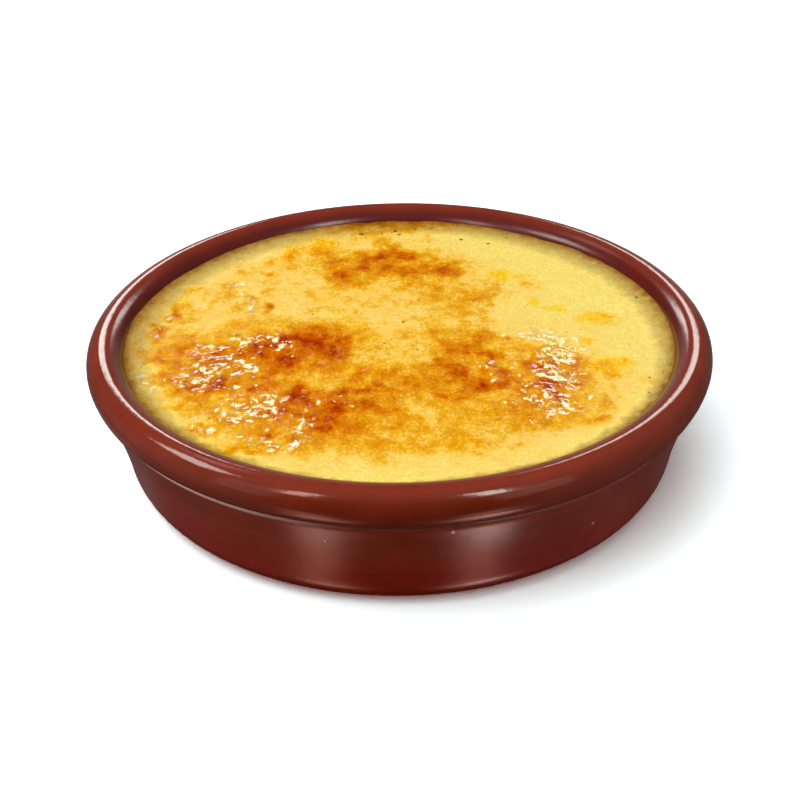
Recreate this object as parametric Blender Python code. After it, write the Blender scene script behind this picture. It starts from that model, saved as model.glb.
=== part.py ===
"""Creme brulee in its round earthenware dish: a thick-rimmed dish and the custard that fills it.

Frame: metres, +Z up, +Z is the dish's axis, the origin is the centre of its flat base.
"""

import math

import bmesh
import bpy

MM = 0.001

# The dish, outside.
RIM_RADIUS = 65.0 * MM
DISH_HEIGHT = 30.8 * MM
RIM_CREST_RADIUS = 61.6 * MM
RIM_MIDDLE_Z = 26.8 * MM
NECK_RADIUS = 62.5 * MM
NECK_Z = 22.7 * MM
LIP_SQUARENESS = 1.25
LIP_END_DEG = 70.0
CREASE_CORNER = (62.42 * MM, 22.6 * MM)
WALL_TOP = (62.32 * MM, 21.7 * MM)
WALL_MIDDLE = (60.05 * MM, 15.2 * MM)
FOOT_RADIUS = 58.0 * MM
BASE_CORNER = 8.2 * MM
WALL_LEAN_DEG = 11.0

# The dish, inside.
MOUTH_RADIUS = 57.0 * MM
CAVITY_MIDDLE = (55.2 * MM, 18.0 * MM)
CAVITY_FOOT_RADIUS = 53.4 * MM
FLOOR_THICKNESS = 5.0 * MM
FLOOR_CORNER = 7.0 * MM

# The custard.
CUSTARD_LEVEL = 27.85 * MM
PIECE_GAP = 0.3 * MM
MENISCUS_HEIGHT = 0.35 * MM
MENISCUS_WIDTH = 2.5 * MM
TOP_RINGS = 12

# Low swells of the crust: height, bearing it runs along, waves across the dish, phase.
SWELLS = (
    (0.16 * MM, 20.0, 1.3, 0.6),
    (0.13 * MM, 75.0, 2.1, 2.2),
    (0.10 * MM, 130.0, 2.9, 4.0),
    (0.08 * MM, 165.0, 3.7, 1.1),
)

TURN_STEPS = 72


def srgb_to_linear(value):
    """One sRGB channel from 0 to 1, as the linear value that a shader takes."""
    if value <= 0.04045:
        return value / 12.92
    return ((value + 0.055) / 1.055) ** 2.4


def finish(name, hex_colour, roughness, coat=0.0):
    """A non-metallic Principled material in one colour."""
    channels = [int(hex_colour[i : i + 2], 16) / 255 for i in (1, 3, 5)]
    colour = [srgb_to_linear(channel) for channel in channels] + [1.0]
    material = bpy.data.materials.new(name)
    material.diffuse_color = colour
    material.use_nodes = True
    shader = material.node_tree.nodes["Principled BSDF"]
    shader.inputs["Base Color"].default_value = colour
    shader.inputs["Roughness"].default_value = roughness
    shader.inputs["Metallic"].default_value = 0.0
    shader.inputs["Coat Weight"].default_value = coat
    return material


def arc(centre, radius_r, radius_z, start_deg, end_deg, steps):
    """Points (r, z) along an elliptical arc, both ends included."""
    points = []
    for step in range(steps + 1):
        angle = math.radians(start_deg + (end_deg - start_deg) * step / steps)
        points.append((centre[0] + radius_r * math.cos(angle), centre[1] + radius_z * math.sin(angle)))
    return points


def curve_through(low, middle, high, steps):
    """Points (r, z) along the parabola r(z) that passes three points, both ends left out."""
    points = []
    for step in range(1, steps):
        z = low[1] + (high[1] - low[1]) * step / steps
        weight_low = (z - middle[1]) * (z - high[1]) / ((low[1] - middle[1]) * (low[1] - high[1]))
        weight_middle = (z - low[1]) * (z - high[1]) / ((middle[1] - low[1]) * (middle[1] - high[1]))
        weight_high = (z - low[1]) * (z - middle[1]) / ((high[1] - low[1]) * (high[1] - middle[1]))
        points.append((low[0] * weight_low + middle[0] * weight_middle + high[0] * weight_high, z))
    return points


def bend(start, corner, end, steps):
    """Points (r, z) along the quadratic bend from start to end, both ends left out."""
    points = []
    for step in range(1, steps):
        t = step / steps
        points.append(tuple((1 - t) ** 2 * s + 2 * t * (1 - t) * c + t**2 * e for s, c, e in zip(start, corner, end)))
    return points


def base_corner():
    """The rounded corner from the flat base up to the foot of the wall."""
    lean = math.radians(WALL_LEAN_DEG)
    centre = (FOOT_RADIUS - BASE_CORNER * math.cos(lean), BASE_CORNER)
    return arc(centre, BASE_CORNER, BASE_CORNER, -90, -WALL_LEAN_DEG, 6)


def lip_underside():
    """The rim's outer side, from the lip's end at the crease up to the rim's widest line."""
    points = []
    for step in range(6):
        angle = math.radians(LIP_END_DEG * (1 - step / 6))
        reach = math.cos(angle) ** LIP_SQUARENESS
        drop = math.sin(angle) ** LIP_SQUARENESS
        radius = NECK_RADIUS + (RIM_RADIUS - NECK_RADIUS) * reach
        points.append((radius, RIM_MIDDLE_Z - (RIM_MIDDLE_Z - NECK_Z) * drop))
    return points


def rim_top():
    """The rounded top of the rim, from its widest line over the crest and down to the mouth."""
    centre = (RIM_CREST_RADIUS, RIM_MIDDLE_Z)
    rise = DISH_HEIGHT - RIM_MIDDLE_Z
    outer = arc(centre, RIM_RADIUS - RIM_CREST_RADIUS, rise, 0, 90, 6)
    inner = arc(centre, RIM_CREST_RADIUS - MOUTH_RADIUS, rise, 90, 180, 6)
    return outer + inner[1:]


def cavity_corner():
    """The rounded inside corner, from the foot of the inner wall to the floor."""
    lean = math.radians(WALL_LEAN_DEG)
    centre = (CAVITY_FOOT_RADIUS - FLOOR_CORNER * math.cos(lean), FLOOR_THICKNESS + FLOOR_CORNER)
    return arc(centre, FLOOR_CORNER, FLOOR_CORNER, -WALL_LEAN_DEG, -90, 5)


def cavity_wall():
    """The inner wall between its foot and the mouth, listed from the mouth down."""
    foot = cavity_corner()[0]
    return curve_through(foot, CAVITY_MIDDLE, (MOUTH_RADIUS, RIM_MIDDLE_Z), 4)[::-1]


def dish_profile():
    """Half of the dish's section, from the centre of its base round to the centre of its floor."""
    corner = base_corner()
    lip = lip_underside()
    return [
        (0.0, 0.0),
        *corner,
        *curve_through(corner[-1], WALL_MIDDLE, WALL_TOP, 5),
        WALL_TOP,
        *bend(WALL_TOP, CREASE_CORNER, lip[0], 3),
        *lip,
        *rim_top(),
        *cavity_wall(),
        *cavity_corner(),
        (0.0, FLOOR_THICKNESS),
    ]


def mouth_radius_at(z):
    """The radius of the rim's inner side at a height above its widest line."""
    rise = (z - RIM_MIDDLE_Z) / (DISH_HEIGHT - RIM_MIDDLE_Z)
    return RIM_CREST_RADIUS - (RIM_CREST_RADIUS - MOUTH_RADIUS) * math.sqrt(1 - rise**2)


def custard_profile():
    """Half of the custard's section, from the centre of its underside out, up and in along its level."""
    corner = [(r - PIECE_GAP, z + PIECE_GAP) for r, z in cavity_corner()[::-1]]
    wall = [(r - PIECE_GAP, z) for r, z in cavity_wall()[::-1]]
    edge_z = CUSTARD_LEVEL + MENISCUS_HEIGHT
    edge_radius = mouth_radius_at(edge_z) - PIECE_GAP
    level = []
    for ring in range(1, TOP_RINGS):
        # Rings crowd towards the edge, where the custard climbs the wall.
        level.append((edge_radius * (1 - (ring / TOP_RINGS) ** 1.5), CUSTARD_LEVEL))
    return [
        (0.0, FLOOR_THICKNESS + PIECE_GAP),
        *corner,
        *wall,
        (MOUTH_RADIUS - PIECE_GAP, RIM_MIDDLE_Z),
        (edge_radius, CUSTARD_LEVEL),
        *level,
        (0.0, CUSTARD_LEVEL),
    ]


def swell(x, y):
    """Height of the crust's low swells over the level, at a place on it."""
    height = 0.0
    for size, bearing_deg, waves, phase in SWELLS:
        bearing = math.radians(bearing_deg)
        along = (x * math.cos(bearing) + y * math.sin(bearing)) / (2 * MOUTH_RADIUS)
        height += size * math.sin(2 * math.pi * waves * along + phase)
    return height


def shape_custard_top(bm):
    """Gives the flat level its meniscus at the wall and its low swells further in."""
    edge_radius = mouth_radius_at(CUSTARD_LEVEL + MENISCUS_HEIGHT) - PIECE_GAP
    for vertex in bm.verts:
        if abs(vertex.co.z - CUSTARD_LEVEL) > 0.01 * MM:
            continue
        inward = edge_radius - math.hypot(vertex.co.x, vertex.co.y)
        climb = max(0.0, 1 - inward / MENISCUS_WIDTH) ** 2
        vertex.co.z += MENISCUS_HEIGHT * climb + (1 - climb) * swell(vertex.co.x, vertex.co.y)


def turned(name, profile, material, shape_top=None):
    """Turns a half section about +Z into one closed solid, smooth but for the edge of its base."""
    bm = bmesh.new()
    vertices = [bm.verts.new((r, 0.0, z)) for r, z in profile]
    edges = [bm.edges.new(pair) for pair in zip(vertices, vertices[1:])]
    bmesh.ops.spin(
        bm,
        geom=vertices + edges,
        cent=(0, 0, 0),
        axis=(0, 0, 1),
        angle=2 * math.pi,
        steps=TURN_STEPS,
        use_merge=True,
    )
    bmesh.ops.remove_doubles(bm, verts=bm.verts[:], dist=0.01 * MM)
    if shape_top:
        shape_top(bm)
    bmesh.ops.recalc_face_normals(bm, faces=bm.faces[:])
    mesh = bpy.data.meshes.new(name)
    bm.to_mesh(mesh)
    bm.free()
    mesh.materials.append(material)
    mesh.shade_smooth()
    mesh.set_sharp_from_angle(angle=math.radians(40))
    solid = bpy.data.objects.new(name, mesh)
    bpy.context.scene.collection.objects.link(solid)
    return solid


def build_dish():
    """The glazed red-brown earthenware dish."""
    return turned("dish", dish_profile(), finish("glazed_earthenware", "#7A2F20", 0.16, coat=0.6))


def build_custard():
    """The set custard with its burnt sugar top, filling the dish to just under the rim."""
    return turned("custard", custard_profile(), finish("burnt_custard", "#F2C766", 0.3), shape_custard_top)


def main():
    for old in list(bpy.data.objects):
        bpy.data.objects.remove(old, do_unlink=True)
    build_dish()
    build_custard()


main()
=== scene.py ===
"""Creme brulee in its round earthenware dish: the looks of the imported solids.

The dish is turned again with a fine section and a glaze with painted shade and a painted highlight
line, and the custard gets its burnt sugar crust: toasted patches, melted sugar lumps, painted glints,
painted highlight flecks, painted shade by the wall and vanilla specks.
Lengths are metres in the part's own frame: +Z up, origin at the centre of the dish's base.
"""

import logging
import math
from dataclasses import dataclass, field
from enum import Enum
from random import Random
from typing import Any, ClassVar, Iterable, Mapping, Sequence

import bpy
import numpy as np
from mathutils import Euler, Matrix, Vector, noise


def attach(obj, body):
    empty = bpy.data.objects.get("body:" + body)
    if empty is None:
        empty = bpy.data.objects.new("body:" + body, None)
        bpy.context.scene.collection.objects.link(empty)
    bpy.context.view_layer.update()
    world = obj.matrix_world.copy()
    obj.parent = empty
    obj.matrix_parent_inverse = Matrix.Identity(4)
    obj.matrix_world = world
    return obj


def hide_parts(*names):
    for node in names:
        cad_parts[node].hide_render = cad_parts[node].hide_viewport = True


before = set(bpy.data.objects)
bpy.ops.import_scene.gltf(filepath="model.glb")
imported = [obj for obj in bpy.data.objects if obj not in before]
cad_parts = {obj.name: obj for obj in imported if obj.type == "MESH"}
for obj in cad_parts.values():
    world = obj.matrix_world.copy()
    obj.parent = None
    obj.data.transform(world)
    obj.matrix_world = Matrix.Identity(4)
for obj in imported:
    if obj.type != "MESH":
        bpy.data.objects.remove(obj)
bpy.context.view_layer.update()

MM = 0.001
BODY = "root"
SAME_PLACE = 0.01 * MM
HARD_EDGE = math.radians(45)
LOG = logging.getLogger("creme_brulee")

Point2 = tuple[float, float]
Stops = tuple[tuple[float, str], ...]
# A map range's numbers in the node's order: from low, from high, and to low, to high unless 0 to 1.
Span = tuple[float, ...]
Link = bpy.types.Node | bpy.types.NodeSocket

# The settings of a mix node that blends two colours, and of one that multiplies them.
BLEND = {"data_type": "RGBA"}
TINT = {"data_type": "RGBA", "blend_type": "MULTIPLY"}


def hex_to_linear(code: str) -> tuple[float, float, float, float]:
    """Turns an sRGB hex colour into the linear colour a shader takes.

    Args:
        code: The colour as "#RRGGBB".

    Returns:
        Red, green, blue and alpha, linear, alpha 1.
    """
    channels = [int(code[i : i + 2], 16) / 255 for i in (1, 3, 5)]
    linear = [c / 12.92 if c <= 0.04045 else ((c + 0.055) / 1.055) ** 2.4 for c in channels]
    return linear[0], linear[1], linear[2], 1.0


def per_metre(millimetres: float) -> float:
    """The noise scale on Object coordinates whose features are this many millimetres across."""
    return 1 / (millimetres * MM)


# ---------------------------------------------------------------- node and mesh helpers


def fill_inputs(
    tree: bpy.types.NodeTree, node: bpy.types.Node, inputs: Mapping[str | int, Any] | Sequence[Any]
) -> None:
    """Sets a node's inputs, or links into them.

    Args:
        tree: The node tree that holds the node.
        node: The node.
        inputs: What goes in, by the input's name or number, or in the inputs' order: a constant, a
            hex colour, a socket, or a node whose first output in use is meant.
    """
    named = inputs if isinstance(inputs, Mapping) else dict(enumerate(inputs))
    for name, given in named.items():
        if isinstance(given, bpy.types.Node):
            given = next(output for output in given.outputs if output.enabled)
        if isinstance(given, bpy.types.NodeSocket):
            tree.links.new(given, node.inputs[name])
        else:
            node.inputs[name].default_value = hex_to_linear(given) if isinstance(given, str) else given


def add_node(
    tree: bpy.types.NodeTree,
    kind: str,
    inputs: Mapping[str | int, Any] | Sequence[Any] = (),
    stops: Sequence[tuple[float, str]] = (),
    **settings: Any,
) -> bpy.types.Node:
    """Adds one shader node with its settings, input values and incoming links.

    Args:
        tree: The node tree that gets the node.
        kind: The node's type name after "ShaderNode", such as "Math".
        inputs: What goes into its inputs, as fill_inputs takes it.
        stops: A colour ramp's stops, each a position and a hex colour, in order.
        **settings: Attributes of the node itself.

    Returns:
        The new node.
    """
    node = tree.nodes.new(f"ShaderNode{kind}")
    for name, value in settings.items():
        setattr(node, name, value)
    fill_inputs(tree, node, inputs)
    if stops:
        elements = node.color_ramp.elements
        for element, (position, tone) in zip(elements, (stops[0], stops[-1])):
            element.position, element.color = position, hex_to_linear(tone)
        for position, tone in stops[1:-1]:
            elements.new(position).color = hex_to_linear(tone)
    return node


def new_material(name: str) -> tuple[bpy.types.Material, bpy.types.NodeTree, bpy.types.Node]:
    """Makes an empty Principled material.

    Args:
        name: The material's name.

    Returns:
        The material, its node tree and its Principled BSDF.
    """
    material = bpy.data.materials.new(name)
    material.use_nodes = True
    return material, material.node_tree, material.node_tree.nodes["Principled BSDF"]


def start_edit(obj: bpy.types.Object) -> None:
    """Makes one object the only selected one and opens it in edit mode with all of it selected.

    Args:
        obj: The object.
    """
    if bpy.context.object:
        bpy.ops.object.mode_set(mode="OBJECT")
    bpy.ops.object.select_all(action="DESELECT")
    obj.select_set(True)
    bpy.context.view_layer.objects.active = obj
    bpy.ops.object.mode_set(mode="EDIT")
    bpy.ops.mesh.select_all(action="SELECT")


def end_edit(obj: bpy.types.Object, name: str, material: bpy.types.Material) -> None:
    """Leaves edit mode, shades the piece smooth but for its hard edges, names and dresses it.

    Args:
        obj: The object in edit mode.
        name: The piece's name.
        material: Its finish.
    """
    bpy.ops.mesh.select_all(action="SELECT")
    bpy.ops.mesh.normals_make_consistent(inside=False)
    bpy.ops.object.mode_set(mode="OBJECT")
    bpy.ops.object.transform_apply(location=True, rotation=True, scale=True)
    bpy.ops.object.shade_smooth_by_angle(angle=HARD_EDGE)
    obj.name = name
    obj.data.name = name
    obj.data.materials.clear()
    obj.data.materials.append(material)


def ellipse_arc(centre: Point2, radii: Point2, start_deg: float, end_deg: float, steps: int) -> list[Point2]:
    """Points along an elliptical arc of a section, both ends included.

    Args:
        centre: The arc's centre (r, z).
        radii: Its half widths along r and z.
        start_deg: The angle it starts at, from +r towards +z.
        end_deg: The angle it ends at.
        steps: How many steps it is cut into.

    Returns:
        The points (r, z).
    """
    angles = [math.radians(start_deg + (end_deg - start_deg) * i / steps) for i in range(steps + 1)]
    return [(centre[0] + radii[0] * math.cos(a), centre[1] + radii[1] * math.sin(a)) for a in angles]


def parabola(low: Point2, middle: Point2, high: Point2, steps: int) -> list[Point2]:
    """Points along the parabola r(z) through three points, its two ends left out.

    Args:
        low: The lowest point (r, z).
        middle: A point between.
        high: The highest point.
        steps: How many steps the curve is cut into.

    Returns:
        The points (r, z), from low to high.
    """
    three = (low, middle, high)
    points = []
    for i in range(1, steps):
        z = low[1] + (high[1] - low[1]) * i / steps
        r = 0.0
        for here in three:
            weight = 1.0
            for other in three:
                if other is not here:
                    weight *= (z - other[1]) / (here[1] - other[1])
            r += here[0] * weight
        points.append((r, z))
    return points


# ---------------------------------------------------------------- the finishes


class CrustLayer(Enum):
    """What a place on the crust is measured for, by the attribute's name."""

    HEAT = "scorch"
    MELT = "melt"
    PALE = "pale"
    EDGE = "edge"
    GLINT_LUMPS = "glint_lumps"
    SYRUP = "syrup"


@dataclass(frozen=True)
class GlazedEarthenware:
    """Red earthenware under a clear lead-free glaze, dipped and fired: a deep red-brown with a wet shine.

    A height ramp paints shade into the glaze: darker on the wall under the lip and over the lip and rim,
    lighter towards the foot. A pale line painted along the ledge's edge, stronger towards the left, stands
    for its highlight, and the inside of the mouth is painted darker as shade. The glaze lies a little rougher
    on the wall than on the rim, and the underside is wiped clean before firing, so bare terracotta shows
    there.
    """

    name: str = "glazed_earthenware"
    slot: str = "glazed_earthenware"
    thick_glaze: str = "#8C2F17"
    thin_glaze: str = "#98361D"
    bare_clay: str = "#A8603F"
    darker_clay: str = "#8F4C2E"
    # Painted highlight: the pale line along the ledge's edge.
    ledge_highlight_tone: str = "#FFD8CC"
    # Painted shade: the inside of the mouth darkened.
    inside_shade: str = "#CC9486"
    # Painted shade by height: darker on the wall under the lip and over the lip and rim, white towards the
    # foot.
    height_shade_mm: Stops = (
        (8.0, "#FFFFFF"),
        (11.0, "#F3F3F3"),
        (13.0, "#E2E2E2"),
        (17.5, "#C5C5C5"),
        (21.0, "#D0D0D0"),
        (24.0, "#BCBCBC"),
        (28.0, "#C2C2C2"),
        (29.7, "#CBCBCB"),
        (30.6, "#DCDCDC"),
    )
    height_shade_span_mm: float = 31.0
    mottle_mm: float = 9.0
    mottle: Span = (0.35, 0.68)
    orange_peel_mm: float = 1.9
    peel_strength: float = 0.3
    peel_depth: float = 0.1 * MM
    glaze_line_z: Span = (0.22 * MM, 0.55 * MM)
    inside_reach: Span = (58.4 * MM, 60.4 * MM, 1.0, 0.0)
    edge_z: float = 22.1 * MM
    edge_line: Span = (0.0, 0.55 * MM, 1.0, 0.0)
    edge_side: Span = (-8.0 * MM, -42.0 * MM, 0.05, 0.85)
    roughness_up: Span = (25.0 * MM, 28.0 * MM, 0.24, 0.13)
    inside_dulling: Span = (23.0 * MM, 26.0 * MM, 0.0, 0.1)
    clay_roughness: float = 0.85
    ior: float = 1.5

    def build(self) -> bpy.types.Material:
        """Builds the material.

        Returns:
            The material.
        """
        material, tree, shader = new_material(self.name)
        place = add_node(tree, "TexCoord").outputs["Object"]
        axes = add_node(tree, "SeparateXYZ", (place,))
        across = add_node(tree, "VectorMath", (place, (1.0, 1.0, 0.0)), operation="MULTIPLY")
        reach = add_node(tree, "VectorMath", (across,), operation="LENGTH")
        inside = add_node(tree, "MapRange", (reach, *self.inside_reach))
        glazed = add_node(tree, "MapRange", (axes.outputs["Z"], *self.glaze_line_z))
        shine = add_node(tree, "MapRange", (axes.outputs["Z"], *self.roughness_up))
        dull = add_node(tree, "MapRange", (axes.outputs["Z"], *self.inside_dulling))
        dulled = add_node(tree, "Math", (inside, dull, shine), operation="MULTIPLY_ADD")
        peel = {"Vector": place, "Scale": per_metre(self.orange_peel_mm), "Detail": 2.0}
        wavy = {
            "Height": add_node(tree, "TexNoise", peel),
            "Strength": self.peel_strength,
            "Distance": self.peel_depth,
        }
        inputs = {
            "Base Color": self.colour(tree, place, axes, inside, glazed),
            "Roughness": add_node(tree, "MapRange", (glazed, 0.0, 1.0, self.clay_roughness, dulled)),
            "IOR": self.ior,
            "Normal": add_node(tree, "Bump", wavy),
        }
        fill_inputs(tree, shader, inputs)
        return material

    def colour(
        self, tree: bpy.types.NodeTree, place: Link, axes: bpy.types.Node, inside: Link, glazed: Link
    ) -> bpy.types.Node:
        """Mottled glaze with painted shade inside the mouth and by height, and a painted highlight along the
        ledge's edge, over mottled bare clay.

        Args:
            tree: The material's node tree.
            place: The place on the dish.
            axes: The node that gives the place's X, Y and Z.
            inside: How far inside the rim's crest the place lies.
            glazed: Where the glaze lies.

        Returns:
            The colour.
        """
        clouds = {"Vector": place, "Scale": per_metre(self.mottle_mm), "Detail": 4.0, "Roughness": 0.6}
        mottle = add_node(tree, "MapRange", (add_node(tree, "TexNoise", clouds), *self.mottle))
        glaze, clay = (
            add_node(tree, "Mix", {"Factor": mottle, "A": thick, "B": thin}, **BLEND)
            for thick, thin in ((self.thick_glaze, self.thin_glaze), (self.bare_clay, self.darker_clay))
        )
        up = (axes.outputs["Z"], per_metre(self.height_shade_span_mm))
        height = add_node(tree, "Math", up, operation="MULTIPLY")
        stops = [(z_mm / self.height_shade_span_mm, tone) for z_mm, tone in self.height_shade_mm]
        # Painted shade inside the mouth and by height, then the painted highlight along the ledge.
        for factor, above, way in (
            (inside, self.inside_shade, TINT),
            (1.0, add_node(tree, "ValToRGB", (height,), stops), TINT),
            (self.painted_ledge_highlight(tree, axes), self.ledge_highlight_tone, BLEND),
        ):
            glaze = add_node(tree, "Mix", {"Factor": factor, "A": glaze, "B": above}, **way)
        return add_node(tree, "Mix", {"Factor": glazed, "A": clay, "B": glaze}, **BLEND)

    def painted_ledge_highlight(self, tree: bpy.types.NodeTree, axes: bpy.types.Node) -> bpy.types.Node:
        """A painted highlight: a pale line along the ledge's edge, more and more towards the left.

        Args:
            tree: The material's node tree.
            axes: The node that gives the place's X, Y and Z.

        Returns:
            The painted highlight's cover.
        """
        off = add_node(tree, "Math", (axes.outputs["Z"], self.edge_z), operation="SUBTRACT")
        away = add_node(tree, "Math", (off,), operation="ABSOLUTE")
        line = add_node(tree, "MapRange", (away, *self.edge_line))
        side = add_node(tree, "MapRange", (axes.outputs["X"], *self.edge_side))
        return add_node(tree, "Math", (line, side), operation="MULTIPLY")


@dataclass(frozen=True)
class BurntSugarCrust:
    """Set egg custard under caster sugar melted with a hot iron: cream, golden syrup, amber and caramel.

    The cream scatters light softly and hardly shines. The sugar is a clear brittle glass over it,
    made as a coat that lies only where the mesh says that it melted. The mesh's own attributes give
    the tone, and finer noise breaks it up into the specks that boiling sugar leaves.
    """

    name: str = "burnt_custard"
    slot: str = "burnt_custard"
    pale_cream: str = "#F1D66B"
    peach_cream: str = "#F5CC6A"
    # Painted glints: near-white cores and amber fringes where the glassy sugar catches the lamps.
    glint_lumps: str = "#FFF4C4"
    glint_fringe_tone: str = "#F6B93C"
    # Painted highlight: pale flecks where the cream's small bumps catch the light.
    highlight_fleck: str = "#FFEA9A"
    syrup: str = "#FFF03A"
    tones: Stops = (
        (0.28, "#F4C350"),
        (0.40, "#E8AC21"),
        (0.52, "#DE9610"),
        (0.64, "#D48007"),
        (0.76, "#C76804"),
        (0.88, "#B44901"),
        (1.00, "#9C2A00"),
    )
    # Painted shade of the rim along the custard's edge, partly the custard's own darker skin by the wall.
    wall_shade: Stops = (
        (0.05, "#FFFFFF"),
        (0.35, "#E2DED8"),
        (0.60, "#C8C0B8"),
        (0.75, "#BCB1A8"),
        (0.87, "#AD958A"),
        (1.00, "#956F5C"),
    )
    speck_mm: float = 0.75
    blotch_mm: float = 3.2
    grain_mm: float = 0.7
    ripple_mm: float = 2.3
    stretch: tuple[float, float, float] = (1.1, 0.85, 1.0)
    blotch_share: float = 1.9
    heat_swing: Span = (1.0, 1.9, -1.0, 1.0)
    heat_reach: Span = (0.0, 0.6, 0.10, 0.18)
    sugared_heat: Span = (0.10, 0.34)
    grain_shade: Span = (0.3, 0.7, 0.93, 1.05)
    fleck_share: float = 0.34
    glint_level: Span = (0.96, 1.22)
    glint_fringe_span: Span = (0.0, 0.35)
    glint_core_span: Span = (0.25, 0.8)
    highlight_fleck_grain: Span = (0.55, 0.72, 0.0, 0.5)
    highlight_fleck_heat: Span = (0.75, 0.3)
    glass_level: Span = (0.95, 1.25, 0.05, 1.0)
    grain_depth: float = 0.15 * MM
    lump_depth: float = 0.4 * MM
    wave_depth: float = 0.33 * MM

    def build(self) -> bpy.types.Material:
        """Builds the material.

        Returns:
            The material.
        """
        material, tree, shader = new_material(self.name)
        here = add_node(tree, "TexCoord").outputs["Object"]
        place = add_node(tree, "VectorMath", (here, self.stretch), operation="MULTIPLY")
        layer = {
            kind: add_node(tree, "Attribute", attribute_name=kind.value).outputs["Fac"] for kind in CrustLayer
        }
        coarse = {"Vector": place, "Detail": 3.0, "Roughness": 0.55}
        blotch, speck, grain = (
            add_node(tree, "TexNoise", coarse | {"Scale": per_metre(size)})
            for size in (self.blotch_mm, self.speck_mm, self.grain_mm)
        )
        smooth = {"Vector": place, "Scale": per_metre(self.ripple_mm), "Detail": 1.0}
        ripple = add_node(tree, "TexNoise", smooth)
        heat = self.broken_heat(tree, layer[CrustLayer.HEAT], blotch, speck)
        level = add_node(tree, "Math", (layer[CrustLayer.MELT], blotch), operation="ADD")
        fine = {"Height": grain, "Strength": 0.6, "Distance": self.grain_depth}
        lumps = {"Height": blotch, "Strength": 0.5, "Distance": self.lump_depth}
        waves = {"Height": ripple, "Strength": 0.7, "Distance": self.wave_depth}
        inputs = {
            "Base Color": self.colour(tree, layer, heat, speck, grain),
            "Roughness": 0.55,
            "IOR": 1.47,
            "Specular IOR Level": 0.0,
            "Normal": add_node(tree, "Bump", lumps | {"Normal": add_node(tree, "Bump", fine)}),
            "Coat Weight": add_node(tree, "MapRange", (level, *self.glass_level)),
            "Coat Roughness": 0.045,
            "Coat IOR": 1.5,
            "Coat Normal": add_node(tree, "Bump", waves),
            "Subsurface Weight": 0.25,
            "Subsurface Radius": (1.0, 0.6, 0.2),
            "Subsurface Scale": 1.5 * MM,
        }
        fill_inputs(tree, shader, inputs)
        return material

    def colour(
        self,
        tree: bpy.types.NodeTree,
        layer: dict[CrustLayer, bpy.types.NodeSocket],
        heat: Link,
        speck: Link,
        grain: Link,
    ) -> bpy.types.Node:
        """Lays the tones over one another: cream, burnt sugar, syrup, painted glints, painted highlight
        flecks, painted shade by the wall.

        Args:
            tree: The material's node tree.
            layer: The mesh's layers.
            heat: The broken heat.
            speck: The fine noise.
            grain: The grains' noise.

        Returns:
            The colour.
        """
        glints = self.glint_cover(tree, layer[CrustLayer.GLINT_LUMPS], layer[CrustLayer.MELT], speck)
        sugared, shade, glint_fringe, glint_core, grainy, cooler = (
            add_node(tree, "MapRange", (value, *span))
            for value, span in (
                (heat, self.sugared_heat),
                (grain, self.grain_shade),
                (glints, self.glint_fringe_span),
                (glints, self.glint_core_span),
                (grain, self.highlight_fleck_grain),
                (heat, self.highlight_fleck_heat),
            )
        )
        cream = {"Factor": layer[CrustLayer.PALE], "A": self.peach_cream, "B": self.pale_cream}
        colour = add_node(tree, "Mix", cream, **BLEND)
        # Over the crust's own tones go painted glints, painted highlight flecks and the painted shade by the
        # wall.
        for factor, above, way in (
            (sugared, add_node(tree, "ValToRGB", (heat,), self.tones), BLEND),
            (layer[CrustLayer.SYRUP], self.syrup, TINT),
            (glint_fringe, self.glint_fringe_tone, BLEND),
            (glint_core, self.glint_lumps, BLEND),
            (add_node(tree, "Math", (grainy, cooler), operation="MULTIPLY"), self.highlight_fleck, BLEND),
            (1.0, add_node(tree, "ValToRGB", (layer[CrustLayer.EDGE],), self.wall_shade), TINT),
            (1.0, shade, TINT),
        ):
            colour = add_node(tree, "Mix", {"Factor": factor, "A": colour, "B": above}, **way)
        return colour

    def glint_cover(self, tree: bpy.types.NodeTree, glint_lumps: Link, melt: Link, speck: Link) -> bpy.types.Node:
        """Where glints are painted: whole in the glint spots, in flecks over the glassy sugar.

        Args:
            tree: The material's node tree.
            glint_lumps: The mesh's painted glint spots.
            melt: The mesh's melt.
            speck: The fine noise.

        Returns:
            How much painted glint covers the crust.
        """
        flecks = add_node(tree, "Math", (melt, self.fleck_share, speck), operation="MULTIPLY_ADD")
        total = add_node(tree, "Math", (glint_lumps, flecks), operation="ADD")
        return add_node(tree, "MapRange", (total, *self.glint_level))

    def broken_heat(self, tree: bpy.types.NodeTree, heat: Link, blotch: Link, speck: Link) -> bpy.types.Node:
        """Breaks the heat up with blotches and specks, more where there is more sugar.

        Args:
            tree: The material's node tree.
            heat: The mesh's heat.
            blotch: The coarse noise.
            speck: The fine noise.

        Returns:
            The broken heat.
        """
        swing = add_node(tree, "Math", (blotch, self.blotch_share, speck), operation="MULTIPLY_ADD")
        centred = add_node(tree, "MapRange", (swing, *self.heat_swing), clamp=False)
        reach = add_node(tree, "MapRange", (heat, *self.heat_reach))
        return add_node(tree, "Math", (centred, reach, heat), operation="MULTIPLY_ADD", use_clamp=True)


@dataclass(frozen=True)
class PlainFinish:
    """A small piece's finish: one tone varied by a fine noise.

    Used for the vanilla specks, matt brown seeds and bits of pod, and for the pale grit that the
    clay leaves under its glaze.
    """

    name: str
    slot: str
    light: str
    dark: str
    roughness: float
    grain_mm: float = 0.4

    def build(self) -> bpy.types.Material:
        """Builds the material.

        Returns:
            The material.
        """
        material, tree, shader = new_material(self.name)
        place = add_node(tree, "TexCoord").outputs["Object"]
        grain = {"Vector": place, "Scale": per_metre(self.grain_mm), "Detail": 2.0}
        tones = {"Factor": add_node(tree, "TexNoise", grain), "A": self.dark, "B": self.light}
        colour = add_node(tree, "Mix", tones, **BLEND)
        fill_inputs(tree, shader, {"Base Color": colour, "Roughness": self.roughness})
        return material


# ---------------------------------------------------------------- the dish


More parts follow.
